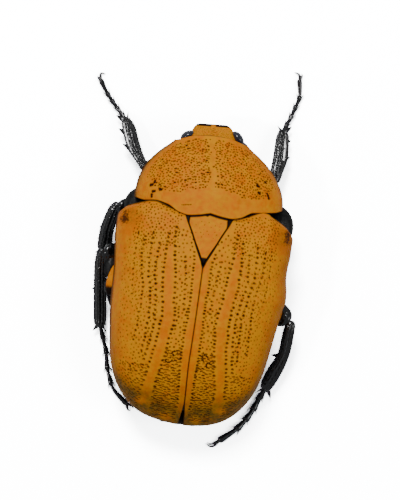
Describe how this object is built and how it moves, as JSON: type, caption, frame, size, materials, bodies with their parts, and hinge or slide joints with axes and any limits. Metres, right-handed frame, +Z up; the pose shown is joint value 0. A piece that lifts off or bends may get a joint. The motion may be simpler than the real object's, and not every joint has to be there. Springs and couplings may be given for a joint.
{
  "type": "flower chafer beetle",
  "caption": "Still life-size model of an orange flower chafer: domed neck shield, pitted wing cases and black legs.",
  "frame": {"origin": "middle of the bounding box on the floor that the feet stand on", "axes": "+Z up; -Y the way the head points; +X the animal's left side"},
  "size_m": [0.0228, 0.0378, 0.0107],
  "materials": {
    "orange_shell": "smooth satin chitin, finely pitted",
    "amber_shell": "satin chitin with rows of dark pits",
    "black_shell": "glossy black chitin",
    "brown_shell": "dull brown chitin, finely wrinkled",
    "eye": "polished dark eye"
  },
  "bodies": {
    "root": {"head": "orange_shell", "eye_left": "eye", "eye_right": "eye", "antenna_left": "black_shell", "antenna_right": "black_shell", "pronotum": "orange_shell", "prothorax": "black_shell", "scutellum": "orange_shell", "elytron_left": "amber_shell", "elytron_right": "amber_shell", "pterothorax": "black_shell", "abdomen": "black_shell", "pygidium": "brown_shell", "femur_front_left": "black_shell", "femur_front_right": "black_shell", "femur_middle_left": "black_shell", "femur_middle_right": "black_shell", "femur_hind_left": "black_shell", "femur_hind_right": "black_shell", "tibia_front_left": "black_shell", "tibia_front_right": "black_shell", "tibia_middle_left": "black_shell", "tibia_middle_right": "black_shell", "tibia_hind_left": "black_shell", "tibia_hind_right": "black_shell", "tarsus_front_left": "black_shell", "tarsus_front_right": "black_shell", "tarsus_middle_left": "black_shell", "tarsus_middle_right": "black_shell", "tarsus_hind_left": "black_shell", "tarsus_hind_right": "black_shell"}
  },
  "joints": []
}
